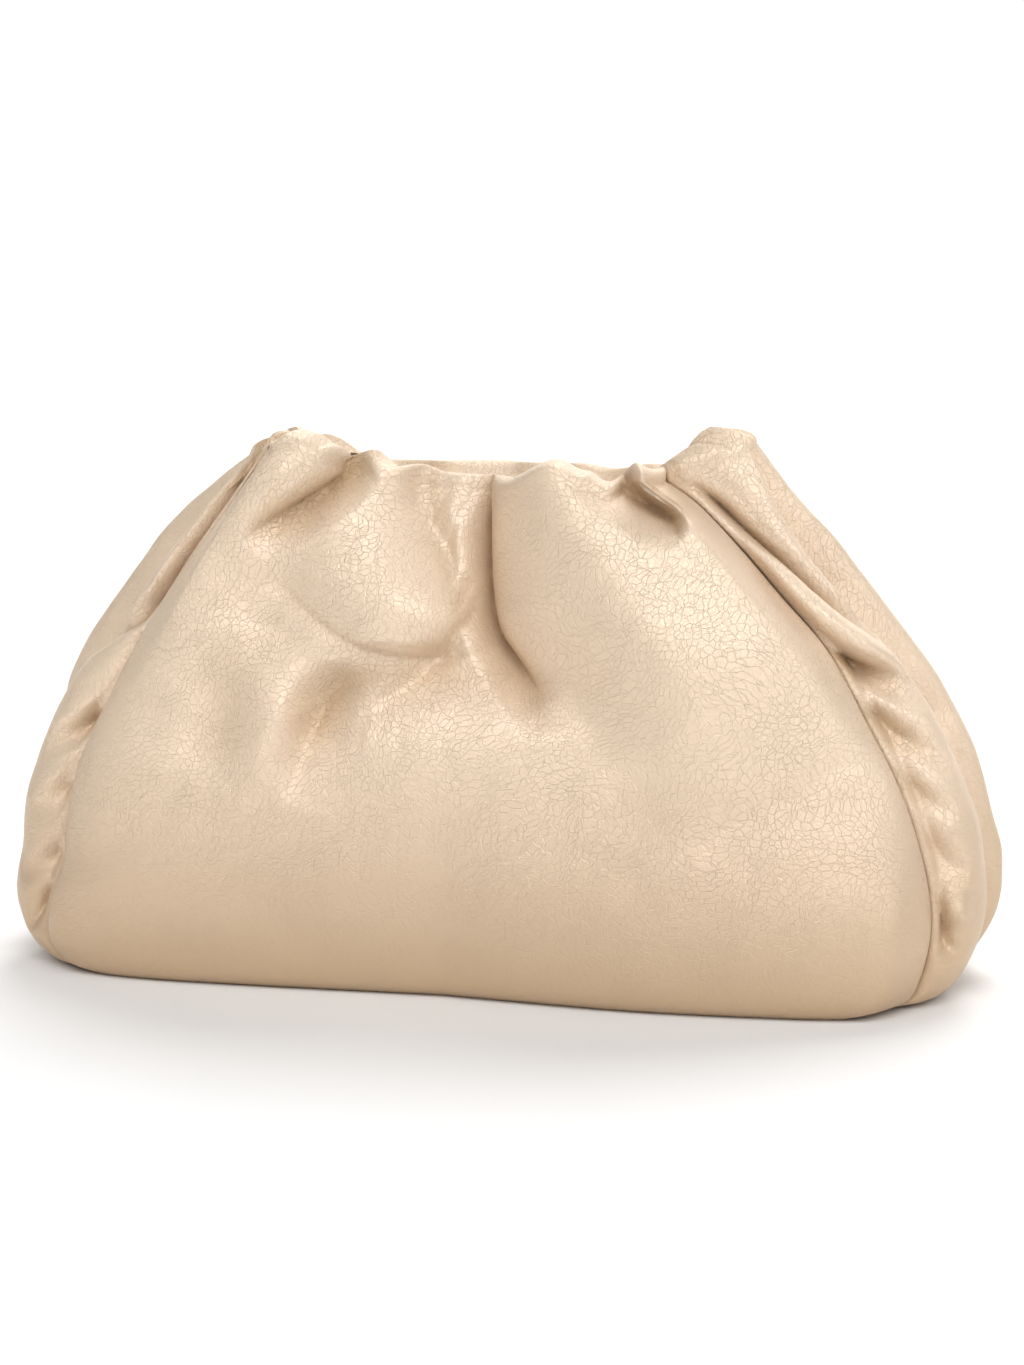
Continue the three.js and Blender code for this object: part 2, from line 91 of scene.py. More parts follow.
# Shares of half the width, half the depth and the height, from the floor to the rim.
faceSections = {
    "out": [0.87, 0.95, 0.985, 1, 0.99, 0.95, 0.875, 0.77, 0.65, 0.52, 0.4, 0.3, 0.235],
    "up": [0, 0.02, 0.07, 0.15, 0.235, 0.33, 0.43, 0.53, 0.63, 0.72, 0.79, 0.85, 0.89],
}
rightSections = {
    "seam": [0.79, 0.85, 0.875, 0.89, 0.885, 0.86, 0.82, 0.755, 0.68, 0.585, 0.5, 0.42, 0.35],
    "seamOut": [0.72, 0.7, 0.67, 0.64, 0.61, 0.58, 0.55, 0.5, 0.45, 0.39, 0.33, 0.27, 0.22],
    "seamUp": [0, 0.02, 0.065, 0.135, 0.205, 0.295, 0.39, 0.5, 0.62, 0.715, 0.8, 0.87, 0.91],
    "lobe": [0.79, 0.89, 0.94, 0.98, 0.985, 0.97, 0.925, 0.86, 0.77, 0.675, 0.6, 0.545, 0.5],
    "lobeUp": [0, 0.005, 0.04, 0.12, 0.205, 0.305, 0.42, 0.53, 0.64, 0.73, 0.81, 0.89, 0.965],
    "back": [0.79, 0.9, 0.955, 1, 1.01, 0.985, 0.945, 0.885, 0.8, 0.725, 0.655, 0.575, 0.51],
    "tuck": [0.79, 0.86, 0.88, 0.89, 0.88, 0.85, 0.8, 0.735, 0.655, 0.58, 0.525, 0.49, 0.48],
}
leftSections = {
    "seam": [0.79, 0.85, 0.885, 0.88, 0.855, 0.845, 0.82, 0.765, 0.7, 0.64, 0.58, 0.52, 0.455],
    "seamOut": [0.72, 0.7, 0.67, 0.64, 0.61, 0.58, 0.55, 0.5, 0.45, 0.39, 0.32, 0.25, 0.2],
    "seamUp": [0, 0.02, 0.065, 0.135, 0.205, 0.295, 0.39, 0.5, 0.62, 0.715, 0.8, 0.88, 0.962],
    "lobe": [0.79, 0.9, 0.965, 0.99, 0.98, 0.965, 0.92, 0.86, 0.76, 0.69, 0.62, 0.56, 0.5],
    "lobeUp": [0, 0.005, 0.05, 0.12, 0.205, 0.305, 0.42, 0.53, 0.64, 0.73, 0.81, 0.88, 0.925],
    "back": [0.79, 0.9, 0.96, 0.99, 0.985, 0.985, 0.965, 0.925, 0.85, 0.77, 0.7, 0.61, 0.53],
    "tuck": [0.79, 0.87, 0.91, 0.92, 0.9, 0.87, 0.84, 0.79, 0.71, 0.64, 0.6, 0.56, 0.5],
}
# The rims' top lines: a place along the bag and its height.
frontRim = [
    (-0.42, 0.993), (-0.38, 1.0), (-0.34, 0.99), (-0.3, 0.968), (-0.27, 0.943), (-0.234, 0.957),
    (-0.18, 0.93), (-0.145, 0.933), (-0.09, 0.917), (0, 0.914), (0.06, 0.914), (0.15, 0.95),
    (0.2, 0.93), (0.24, 0.91), (0.3, 0.95), (0.345, 0.936),
]
backRim = [
    (-0.42, 0.97), (-0.36, 0.975), (-0.25, 0.93), (-0.05, 0.929), (0.15, 0.929), (0.22, 0.92),
    (0.33, 0.936),
]

# Folds of the front. Each path runs through points of (share along, share up, strength). rise is in
# millimetres at full strength, a valley's below nothing. left and right say how far it reaches to
# either side and in which shape, as a viewer in front sees them when the path runs downwards. pull
# draws the leather on its right over the crease.
frontFolds = [
    # the deep crease in the middle, with the right pillow swelling over it
    {"path": [(0, 1.03, 1), (0, 0.91, 1), (0.003, 0.84, 1), (0.005, 0.77, 1), (0.012, 0.7, 1),
              (0.03, 0.64, 1), (0.072, 0.588, 0.8), (0.108, 0.548, 0.35), (0.13, 0.52, 0)],
     "rise": -15, "left": (12, "cusp"), "right": (32, "round"), "pull": 6},
    # the shaded flank of the right pillow along the crease's lower end
    {"path": [(0.004, 0.8, 0), (0.012, 0.7, 0.8), (0.032, 0.64, 1), (0.075, 0.588, 1),
              (0.11, 0.548, 0.8), (0.132, 0.51, 0.4), (0.14, 0.47, 0)],
     "rise": -9, "left": (12, "bell"), "right": (27, "cusp")},
    # the right pillow's crown
    {"path": [(0.13, 1.02, 1), (0.2, 0.88, 1), (0.3, 0.76, 1), (0.42, 0.6, 0.85), (0.56, 0.36, 0)],
     "rise": 20, "left": (46, "bell"), "right": (86, "bell")},
    # the lobe left of the middle
    {"path": [(-0.2, 1.02, 0.8), (-0.235, 0.93, 1), (-0.25, 0.85, 1), (-0.22, 0.77, 1),
              (-0.16, 0.7, 1), (-0.09, 0.64, 0.5), (-0.06, 0.61, 0)],
     "rise": 14, "left": (54, "bell"), "right": (25, "bell")},
    # the valley between that lobe and the small pouch beside the crease
    {"path": [(-0.135, 0.97, 0.4), (-0.13, 0.9, 0.9), (-0.115, 0.83, 0.7), (-0.075, 0.75, 0.7),
              (-0.045, 0.69, 0.9), (-0.05, 0.64, 0.9), (-0.09, 0.61, 0.6), (-0.15, 0.6, 0)],
     "rise": -5.5, "left": (10, "cusp"), "right": (10, "bell")},
    # the valley under the lobe, from the left
    {"path": [(-0.46, 0.77, 0), (-0.37, 0.705, 0.4), (-0.28, 0.645, 0.75), (-0.19, 0.612, 1),
              (-0.1, 0.6, 1), (-0.03, 0.605, 0.7), (0.03, 0.615, 0)],
     "rise": -5, "left": (12, "cusp"), "right": (20, "round")},
    # the hooked dent, and the ridge that runs down beside it
    {"path": [(0.1, 0.545, 0.1), (0.03, 0.56, 0.35), (-0.06, 0.56, 0.5), (-0.14, 0.56, 0.55),
              (-0.22, 0.558, 0.7), (-0.28, 0.53, 1), (-0.31, 0.48, 0.9), (-0.335, 0.43, 0.5),
              (-0.36, 0.34, 0)],
     "rise": -10, "left": (16, "bell"), "right": (26, "cusp")},
    {"path": [(-0.36, 0.63, 0), (-0.385, 0.56, 0.8), (-0.385, 0.5, 1), (-0.395, 0.43, 0.7),
              (-0.42, 0.35, 0)],
     "rise": 5.5, "left": (30, "bell"), "right": (14, "bell")},
    {"path": [(-0.5, 0.64, 0), (-0.5, 0.54, 1), (-0.5, 0.45, 1), (-0.51, 0.36, 0)],
     "rise": -2.5, "left": (22, "bell"), "right": (20, "bell")},
    # the lower pillow's upper edge
    {"path": [(-0.3, 0.44, 0), (-0.18, 0.47, 0.8), (-0.02, 0.485, 1), (0.1, 0.48, 0.8),
              (0.2, 0.44, 0)],
     "rise": 1.5, "left": (40, "bell"), "right": (15, "bell")},
    # the hollow beside the left ear, and the ear's ridge
    {"path": [(-0.255, 0.99, 1), (-0.28, 0.93, 1), (-0.32, 0.9, 1), (-0.37, 0.87, 1), (-0.42, 0.842, 0.8),
              (-0.48, 0.8, 0)],
     "rise": -13, "left": (13, "round"), "right": (16, "bell")},
    {"path": [(-0.385, 1.02, 0.7), (-0.43, 0.95, 1), (-0.48, 0.885, 1), (-0.53, 0.82, 0.9),
              (-0.58, 0.72, 0.6), (-0.66, 0.5, 0)],
     "rise": 14, "left": (24, "bell"), "right": (36, "bell")},
    # the dark pocket at the right of the rim, and the puff past it
    {"path": [(0.2, 0.96, 0.8), (0.2375, 0.915, 1), (0.285, 0.885, 1), (0.33, 0.86, 1), (0.367, 0.84, 0.9),
              (0.395, 0.82, 0)],
     "rise": -16, "left": (10, "round"), "right": (14, "bell")},
    {"path": [(0.3, 1, 1), (0.325, 0.94, 1), (0.365, 0.895, 0.8), (0.43, 0.84, 0)],
     "rise": 9, "left": (10, "bell"), "right": (14, "bell")},
    # the belly of the lower right corner
    {"path": [(-0.05, 0.02, 0), (0.3, 0, 0.9), (0.6, 0.01, 1), (0.85, 0.03, 1)],
     "rise": 9.75, "left": (76, "bell"), "right": (76, "bell")},
]
# Small wrinkles: where they lie, how far they spread, which way they run in degrees from level,
# the width of one and its height, in millimetres.
frontWrinkles = [
    {"at": (-0.065, 0.84), "spread": (15, 28), "run": 86, "wave": 6.5, "high": 1.5},
    {"at": (-0.03, 0.69), "spread": (9, 20), "run": 62, "wave": 4.5, "high": 1.5},
    {"at": (-0.36, 0.89), "spread": (26, 13), "run": 32, "wave": 5, "high": 0.7},
    {"at": (-0.16, 0.61), "spread": (42, 9), "run": -8, "wave": 4, "high": 0.7},
    {"at": (0.09, 0.57), "spread": (20, 14), "run": -48, "wave": 4.5, "high": 0.6},
    {"at": (-0.33, 0.52), "spread": (12, 28), "run": 60, "wave": 5, "high": 0.5},
    {"at": (0.3, 0.9), "spread": (22, 10), "run": -40, "wave": 4, "high": 0.6},
    {"at": (-0.1, 0.47), "spread": (70, 14), "run": 82, "wave": 6, "high": 0.3},
]
backFolds = [
    {"path": [(0.1, 1, 1), (0.1, 0.78, 0.9), (0.02, 0.55, 0)], "rise": -9,
     "left": (22, "cusp"), "right": (24, "bell")},
    {"path": [(-0.14, 1, 1), (-0.2, 0.76, 0.9), (-0.38, 0.5, 0)], "rise": -8,
     "left": (24, "bell"), "right": (20, "cusp")},
    {"path": [(-0.02, 1, 1), (-0.05, 0.76, 0.9), (-0.12, 0.55, 0)], "rise": 7,
     "left": (34, "bell"), "right": (34, "bell")},
    {"path": [(0.025, 0.99, 1), (0.035, 0.87, 0.8), (0, 0.72, 0)], "rise": -5,
     "left": (10, "cusp"), "right": (14, "bell")},
    {"path": [(0.18, 0.99, 1), (0.21, 0.86, 0.8), (0.28, 0.7, 0)], "rise": 6,
     "left": (18, "bell"), "right": (20, "bell")},
    {"path": [(-0.27, 0.98, 1), (-0.33, 0.84, 0.9), (-0.45, 0.68, 0)], "rise": -6,
     "left": (16, "bell"), "right": (11, "cusp")},
    {"path": [(0.25, 0.97, 1), (0.31, 0.8, 0.8), (0.45, 0.62, 0)], "rise": -7,
     "left": (20, "bell"), "right": (22, "cusp")},
    {"path": [(0.2, 0.02, 0), (-0.2, 0, 0.8), (-0.5, 0.01, 1), (-0.85, 0.04, 1)], "rise": 6.5,
     "left": (76, "bell"), "right": (76, "bell")},
]
# Folds of the sides: the first share is round the side, from the front seam at -1 to the back seam at 1.
rightFolds = [
    # the long crushed valley under the ear, its tuck at the end, and the roll between it and the seam
    {"path": [(-0.97, 0.94, 0.4), (-0.93, 0.886, 0.9), (-0.88, 0.84, 1), (-0.82, 0.805, 1), (-0.75, 0.775, 1),
              (-0.69, 0.729, 1), (-0.61, 0.685, 1), (-0.52, 0.655, 0.6), (-0.42, 0.64, 0)],
     "rise": -14, "left": (8, "cusp"), "right": (9, "round")},
    {"path": [(-0.72, 0.7, 0.2), (-0.62, 0.675, 1), (-0.5, 0.665, 0.6), (-0.38, 0.67, 0)],
     "rise": -8, "left": (6, "cusp"), "right": (11, "bell")},
    {"path": [(-0.97, 0.83, 0.3), (-0.95, 0.78, 0.8), (-0.9, 0.723, 1), (-0.86, 0.674, 1),
              (-0.78, 0.636, 0.9), (-0.66, 0.605, 0.5), (-0.5, 0.58, 0)],
     "rise": 7, "left": (9, "bell"), "right": (9, "bell")},
    {"path": [(-1, 0.635, 0.6), (-0.94, 0.613, 1), (-0.8, 0.598, 1), (-0.66, 0.583, 0.5), (-0.5, 0.57, 0)],
     "rise": -12, "left": (16, "bell"), "right": (7, "round")},
    {"path": [(-1, 0.54, 0.6), (-0.94, 0.51, 1), (-0.85, 0.48, 1), (-0.74, 0.458, 0.5), (-0.58, 0.44, 0)],
     "rise": -8, "left": (16, "bell"), "right": (8, "cusp")},
    {"path": [(-1, 0.44, 0.6), (-0.94, 0.4, 1), (-0.86, 0.37, 0.8), (-0.72, 0.34, 0)],
     "rise": -6, "left": (14, "bell"), "right": (8, "cusp")},
    {"path": [(-1, 0.35, 0.6), (-0.93, 0.295, 1), (-0.85, 0.26, 0.8), (-0.72, 0.235, 0)],
     "rise": -5, "left": (12, "bell"), "right": (8, "cusp")},
    {"path": [(-1, 0.23, 0.8), (-0.96, 0.19, 1), (-0.93, 0.155, 1), (-0.87, 0.12, 0.8), (-0.72, 0.09, 0)],
     "rise": -9, "left": (8, "cusp"), "right": (9, "round")},
    {"path": [(-0.9, 0.21, 0), (-0.88, 0.175, 1), (-0.84, 0.14, 0)],
     "rise": 4, "left": (8, "bell"), "right": (9, "bell")},
    # the ear's own crease
    {"path": [(-0.85, 0.97, 0.4), (-0.82, 0.91, 1), (-0.79, 0.876, 1), (-0.76, 0.83, 0.7), (-0.74, 0.79, 0)],
     "rise": -2.5, "left": (5, "cusp"), "right": (9, "bell")},
    # across the middle fold
    {"path": [(-0.3, 0.5, 0), (-0.1, 0.47, 1), (0.1, 0.48, 1), (0.35, 0.52, 0)],
     "rise": -5, "left": (13, "bell"), "right": (11, "bell")},
    {"path": [(-0.25, 0.31, 0), (0, 0.27, 1), (0.3, 0.3, 0)],
     "rise": 4.5, "left": (18, "bell"), "right": (16, "bell")},
    {"path": [(-0.2, 0.77, 0), (0, 0.73, 1), (0.3, 0.75, 0)],
     "rise": -4.5, "left": (13, "bell"), "right": (11, "bell")},
    # the back half
    {"path": [(1, 0.62, 0.8), (0.9, 0.585, 1), (0.6, 0.57, 0)],
     "rise": -9, "left": (12, "cusp"), "right": (14, "bell")},
    {"path": [(1, 0.82, 0.6), (0.88, 0.78, 1), (0.6, 0.74, 0)],
     "rise": -6, "left": (9, "cusp"), "right": (14, "bell")},
    {"path": [(1, 0.36, 0.8), (0.9, 0.375, 1), (0.6, 0.33, 0)],
     "rise": -7, "left": (12, "cusp"), "right": (14, "bell")},
]
leftFolds = [
    # the shadowed valley along the seam, from the ear down to the first tuck
    {"path": [(-0.85, 0.97, 0.5), (-0.83, 0.927, 0.9), (-0.85, 0.866, 1), (-0.86, 0.822, 1),
              (-0.88, 0.783, 1), (-0.91, 0.735, 1), (-0.94, 0.7, 0.7), (-0.96, 0.67, 0)],
     "rise": -12, "left": (10, "bell"), "right": (10, "bell")},
    {"path": [(-1.02, 0.69, 0.7), (-0.95, 0.662, 1), (-0.88, 0.642, 1), (-0.74, 0.625, 1), (-0.55, 0.59, 0.6),
              (-0.3, 0.57, 0)],
     "rise": -15, "left": (6, "round"), "right": (15, "bell")},
    {"path": [(-1.02, 0.49, 0.7), (-0.93, 0.457, 1), (-0.83, 0.435, 0.6), (-0.66, 0.42, 0)],
     "rise": -10, "left": (11, "bell"), "right": (7, "cusp")},
    {"path": [(-1.02, 0.36, 0.7), (-0.93, 0.328, 1), (-0.84, 0.305, 0.5), (-0.7, 0.29, 0)],
     "rise": -5.5, "left": (10, "bell"), "right": (7, "cusp")},
    {"path": [(-1.02, 0.23, 0.8), (-0.93, 0.205, 1), (-0.83, 0.185, 0.6), (-0.7, 0.16, 0)],
     "rise": -6, "left": (9, "bell"), "right": (7, "cusp")},
    {"path": [(-1.02, 0.19, 0.8), (-0.96, 0.15, 1), (-0.9, 0.112, 1), (-0.78, 0.06, 0)],
     "rise": -7.5, "left": (7, "cusp"), "right": (9, "round")},
    # across the middle fold
    {"path": [(-0.35, 0.42, 0), (-0.1, 0.4, 1), (0.1, 0.38, 1), (0.3, 0.39, 0)],
     "rise": -5, "left": (13, "bell"), "right": (11, "bell")},
    {"path": [(-0.3, 0.66, 0), (0, 0.68, 1), (0.25, 0.65, 0)],
     "rise": 4.5, "left": (16, "bell"), "right": (16, "bell")},
    # the back half
    {"path": [(1, 0.62, 0.8), (0.9, 0.605, 1), (0.6, 0.6, 0)],
     "rise": -8, "left": (12, "cusp"), "right": (14, "bell")},
    {"path": [(1, 0.85, 0.6), (0.88, 0.81, 1), (0.6, 0.78, 0)],
     "rise": -6, "left": (9, "cusp"), "right": (14, "bell")},
    {"path": [(1, 0.4, 0.8), (0.9, 0.385, 1), (0.6, 0.4, 0)],
     "rise": -6, "left": (12, "cusp"), "right": (14, "bell")},
]
# Crushed leather inside the tucks of the sides.
rightWrinkles = [
    {"at": (-0.8, 0.8), "spread": (8, 28), "run": -35, "wave": 3.5, "high": 0.6},
    {"at": (-0.82, 0.6), "spread": (10, 8), "run": 10, "wave": 3.5, "high": 0.7},
    {"at": (-0.88, 0.495), "spread": (10, 9), "run": 30, "wave": 4, "high": 0.6},
    {"at": (-0.9, 0.39), "spread": (10, 9), "run": 35, "wave": 4, "high": 0.5},
]
leftWrinkles = [
    {"at": (-0.9, 0.65), "spread": (9, 10), "run": 20, "wave": 4, "high": 0.7},
    {"at": (-0.93, 0.46), "spread": (8, 9), "run": 20, "wave": 4, "high": 0.6},
]


def mix(a, b, share):
    return a + (b - a) * share


def smooth(value):
    x = np.clip(value, 0, 1)
    return x * x * (3 - 2 * x)


def between(column, place):  # a table's column at any place, on a smooth curve through its rows
    rows = np.asarray(column, float)
    last = len(rows) - 1
    at = np.clip(place, 0, 1) * last
    i = np.minimum(last - 1, np.floor(at)).astype(int)
    u = at - i
    a, b, c, d = (rows[np.clip(i + k, 0, last)] for k in (-1, 0, 1, 2))
    return b + 0.5 * u * (c - a + u * (2 * a - 5 * b + 4 * c - d + u * (3 * (b - c) + d - a)))


def rimUpAt(rim, side):
    places, heights = np.array(rim).T
    i = np.clip(np.searchsorted(places, side, side="right") - 1, 0, len(places) - 2)
    share = smooth((side - places[i]) / (places[i + 1] - places[i]))
    return mix(heights[i], heights[i + 1], share)


def seamPoint(sign, toBack, level):
    rows = rightSections if sign > 0 else leftSections
    return (
        sign * bag["halfWidth"] * between(rows["seam"], level),
        toBack * bag["halfDepth"] * between(rows["seamOut"], level),
        bag["height"] * np.maximum(0, between(rows["seamUp"], level)),
    )


def curveThrough(points, pieces):
    rows = np.array(points, float)
    place = np.linspace(0, 1, pieces + 1)
    return np.stack([between(rows[:, k], place) for k in range(rows.shape[1])], axis=1)


def foldShape(kind, share):  # 1 on the fold's line, nothing at its reach
    x = np.clip(share, 0, 1)
    if kind == "bell":
        return (1 - x * x) ** 2
    if kind == "cusp":
        return (1 - x) ** 2 * (1 + 0.6 * x)
    return 1 - np.sqrt(np.clip(1 - (1 - x) ** 2, 0, 1))  # round: a pillow's edge


def foldField(folds, along, up, alongSize):
    spots = np.stack([along.ravel(), up.ravel()], axis=1)
    lift = np.zeros(len(spots))
    pulled = np.zeros((len(spots), 2))
    valleyShade = np.zeros(len(spots))
    for fold in folds:
        way = curveThrough(fold["path"], bag["pathSteps"])
        way[:, 0] *= alongSize
        way[:, 1] *= bag["height"]
        nearest = np.full(len(spots), 1e9)
        side = np.zeros(len(spots))
        strength = np.zeros(len(spots))
        gaps = np.zeros((len(spots), 2))
        for k in range(len(way) - 1):
            run = way[k + 1, :2] - way[k, :2]
            off = spots - way[k, :2]
            t = np.clip(off @ run / (run @ run), 0, 1)
            gap = off - t[:, None] * run
            distance = np.hypot(gap[:, 0], gap[:, 1])
            closer = distance < nearest
            nearest = np.where(closer, distance, nearest)
            side = np.where(closer, run[0] * off[:, 1] - run[1] * off[:, 0], side)
            strength = np.where(closer, mix(way[k, 2], way[k + 1, 2], t), strength)
            gaps = np.where(closer[:, None], gap, gaps)
        strength = np.clip(strength, 0, 1)
        shapes = [foldShape(kind, nearest / reach) for reach, kind in (fold["left"], fold["right"])]
        shape = np.where(side > 0, shapes[1], shapes[0])
        lift += fold["rise"] * strength * shape
        # painted shade: a valley darkens the leather's colour along its line, more the deeper it is
        if fold["rise"] < 0:
            depth = min(1, -fold["rise"] / bag["valleyShadeDepth"])
            valleyShade = np.maximum(valleyShade, strength * shape**2 * depth)
        if "pull" in fold:
            spread = nearest / (fold["right"][0] * bag["pullPeak"])
            amount = fold["pull"] * strength * spread * np.exp(1 - spread) * (side > 0)
            pulled -= gaps / np.maximum(nearest, 1e-6)[:, None] * amount[:, None]
    return [field.reshape(along.shape) for field in (lift, pulled[:, 0], pulled[:, 1], valleyShade)]


def ripples(patches, along, up, alongSize):
    lift = np.zeros(along.shape)
    for n, patch in enumerate(patches):
        offX = along - patch["at"][0] * alongSize
        offZ = up - patch["at"][1] * bag["height"]
        turned = radians(patch["run"])
        far = (offX / patch["spread"][0]) ** 2 + (offZ / patch["spread"][1]) ** 2
        for i, j in np.argwhere(far < 1):
            a = (offX[i, j] * cos(turned) + offZ[i, j] * sin(turned)) / patch["wave"] / bag["rippleLong"]
            b = (offZ[i, j] * cos(turned) - offX[i, j] * sin(turned)) / patch["wave"]
            wander = noise.noise(Vector((a * 1.5, b * 0.4, 7.3 * n)))
            crest = 1 - bag["rippleSharp"] * abs(noise.noise(Vector((a, b + wander, 31.7 * n))))
            lift[i, j] += patch["high"] * crest * (1 - far[i, j]) ** bag["rippleFade"]
    return lift


def undulation(along, up, uneven, seed):  # slow, soft unevenness of hand-stretched leather
    high, size = uneven
    spots = zip(along.ravel() / size, up.ravel() / size)
    flat = [noise.fractal(Vector((a, u, seed)), 1.0, 2.0, 2) for a, u in spots]
    return high * np.array(flat).reshape(along.shape)


def crowded(across):  # columns stand closer together near the seams
    return across * (1 + bag["crowd"] - bag["crowd"] * across * across)


def facePoints(toBack, rim, folds, wrinkles, across, level):
    share = crowded(across)
    sides = [seamPoint(sign, toBack, level) for sign in (-1, 1)]
    onSeams = [mix(left, right, (1 + share) / 2) for left, right in zip(*sides)]
    fullness = np.sqrt(np.maximum(0, 1 - np.abs(share) ** bag["ridgePower"]))
    raised = mix(onSeams[2], bag["height"] * between(faceSections["up"], level), fullness)
    tops = [seamPoint(sign, toBack, np.ones((1, 1))) for sign in (-1, 1)]
    topX = mix(tops[0][0], tops[1][0], (1 + share) / 2)
    seamTopZ = mix(tops[0][2], tops[1][2], (1 + share) / 2)
    topZ = mix(seamTopZ, bag["height"] * faceSections["up"][-1], fullness)
    x = onSeams[0] + 0 * level
    y = mix(onSeams[1], toBack * bag["halfDepth"] * between(faceSections["out"], level), fullness)
    seamEase = smooth((1 - np.abs(across)) * fades["rimAtSeam"])
    crestX = (topX + bag["slotMiddle"] + share * bag["slotLength"] / 2) / 2
    rimZ = bag["height"] * rimUpAt(rim, crestX / bag["halfWidth"]) - bag["rollRise"]
    z = raised + (rimZ - topZ) * smooth((level - bag["rimStart"]) / (1 - bag["rimStart"])) * seamEase
    lift, pullX, pullZ, valleyShade = foldField(folds, x, z, bag["halfWidth"])
    room = mix(bag["rimRoom"], 1, smooth((bag["rimLevel"] - level) * fades["valleyAtRim"]))
    lift = np.where(lift < 0, lift * room, lift)
    lift = lift + ripples(wrinkles, x, z, bag["halfWidth"])
    waves = undulation(x, z, bag["faceUneven"], 3.1 * toBack)
    lift = lift + waves * smooth(z / bag["wavesFrom"]) * smooth((1 - level) * fades["foldsAtTop"])
    liftEase = smooth((1 - np.abs(across)) * fades["foldsAtFaceSeam"])
    return x + pullX * liftEase, y + toBack * lift * liftEase, z + pullZ * liftEase, valleyShade


def sidePoints(sign, across, level):
    rows = rightSections if sign > 0 else leftSections
    toBack = np.where(across < 0, -1.0, 1.0) + 0 * level
    across = across + 0 * level
    level = level + 0 * across
    seamX, seamY, seamZ = seamPoint(sign, toBack, level)
    crest = np.where(toBack < 0, between(rows["lobe"], level), between(rows["back"], level))
    lobe = sign * bag["halfWidth"] * crest
    tuck = sign * bag["halfWidth"] * between(rows["tuck"], level)
    lobeZ = bag["height"] * np.maximum(0, between(rows["lobeUp"], level))
    lobeY = toBack * np.minimum(bag["halfDepth"] * bag["lobeOut"], np.abs(seamY) * bag["lobeRoom"])
    share = np.abs(across)
    turn = np.pi * np.minimum(share, 1 - share)
    swell = np.sin(turn)
    outer = share > 0.5
    x = np.where(outer, mix(seamX, lobe, swell), mix(tuck, lobe, swell ** bag["valleyNarrow"]))
    y = np.where(outer, mix(seamY, lobeY, 1 - np.cos(turn)), lobeY * 2 * share)
    z = np.where(outer, mix(seamZ, lobeZ, swell), lobeZ)
    facingX = np.where(outer, sign * swell, sign)
    facingY = np.where(outer, toBack * np.cos(turn), 0)
    folds, wrinkles = (rightFolds, rightWrinkles) if sign > 0 else (leftFolds, leftWrinkles)
    pleats = np.sin(13 * across + sign) + 0.6 * np.sin(23 * across)  # small puffs along the rim
    pleats *= smooth((level - bag["pleatStart"]) / (1 - bag["pleatStart"]))
    z = z + bag["pleatHigh"] * pleats * smooth((1 - share) * fades["pleatsAtSeam"])
    around = across * bag["sideRun"]
    lift, _, _, valleyShade = foldField(folds, around, z, bag["sideRun"])
    lift = lift + ripples(wrinkles, around, z, bag["sideRun"])
    lift = lift + undulation(around, z, bag["sideUneven"], 9.4 + sign)
    lift = lift * smooth((1 - share) * fades["foldsAtSideSeam"]) * smooth((1 - level) * fades["foldsAtTop"])
    return x + facingX * lift, y + facingY * lift, z, valleyShade


def rimPoints(top, innerX, innerY, place, rimBase):
    arch = np.minimum(place / bag["rollShare"], 1)
    share = ((1 - np.cos(np.pi * arch)) / 2) ** bag["rollLean"]
    crest = top[2] + bag["rollRise"] * np.sin(np.pi * np.minimum(arch, 0.5))
    drop = np.maximum(0, (place - bag["rollShare"]) / (1 - bag["rollShare"]))
    return (
        mix(top[0], innerX, share),
        mix(top[1], innerY, share),
        mix(crest, rimBase, smooth(arch * 2 - 1)) - bag["hemDrop"] * drop,
    )


def evenLevels(count, sample):  # levels that lie evenly spaced along a section
    fine = np.linspace(0, 1, 800)
    x, y, z = sample(fine)
    steps = np.sqrt(np.diff(x) ** 2 + np.diff(y) ** 2 + np.diff(z) ** 2)
    length = np.concatenate([[0], np.cumsum(steps)])
    return np.interp(np.linspace(0, length[-1], count), length, fine)


rimBase = bag["height"] * min(up for side, up in frontRim) - bag["rollRise"]


def faceSheet(toBack, rim, folds, wrinkles, columns, baseRows, bodyRows, rollRows):
    across = np.linspace(-1, 1, columns)[None, :]
    level = evenLevels(bodyRows, lambda at: (
        0 * at,
        bag["halfDepth"] * between(faceSections["out"], at),
        bag["height"] * between(faceSections["up"], at),
    ))
    x, y, z, valleyShade = facePoints(toBack, rim, folds, wrinkles, across, level[:, None])
    share = np.linspace(0, 1, baseRows + 1)[:-1, None]
    base = (x[:1] + 0 * share, y[:1] * share, z[:1] + 0 * share, valleyShade[:1] * share)
    place = np.linspace(0, 1, rollRows + 1)[1:, None]
    innerX = bag["slotMiddle"] + crowded(across) * bag["slotLength"] / 2
    over = rimPoints((x[-1:], y[-1:], z[-1:]), innerX, toBack * bag["slotWidth"] / 2, place, rimBase)
    over = (*over, valleyShade[-1:] + 0 * place)
    return [np.concatenate(parts, axis=0) for parts in zip(base, (x, y, z, valleyShade), over)]


def sideSheet(sign, columns, bodyRows, rollRows):
    across = np.linspace(-1, 1, columns)[None, :]
    level = evenLevels(bodyRows, lambda at: seamPoint(sign, -1, at))
    x, y, z, valleyShade = sidePoints(sign, across, level[:, None])
    place = np.linspace(0, 1, rollRows + 1)[1:, None]
    turn = np.pi / 2 * across
    innerX = bag["slotMiddle"] + sign * (bag["slotLength"] / 2 + bag["slotWidth"] / 2 * np.cos(turn))
    innerY = bag["slotWidth"] / 2 * np.sin(turn)
    over = rimPoints((x[-1:], y[-1:], z[-1:]), innerX, innerY, place, rimBase)
    over = (*over, valleyShade[-1:] + 0 * place)
    return [np.concatenate(parts, axis=0) for parts in zip((x, y, z, valleyShade), over)]


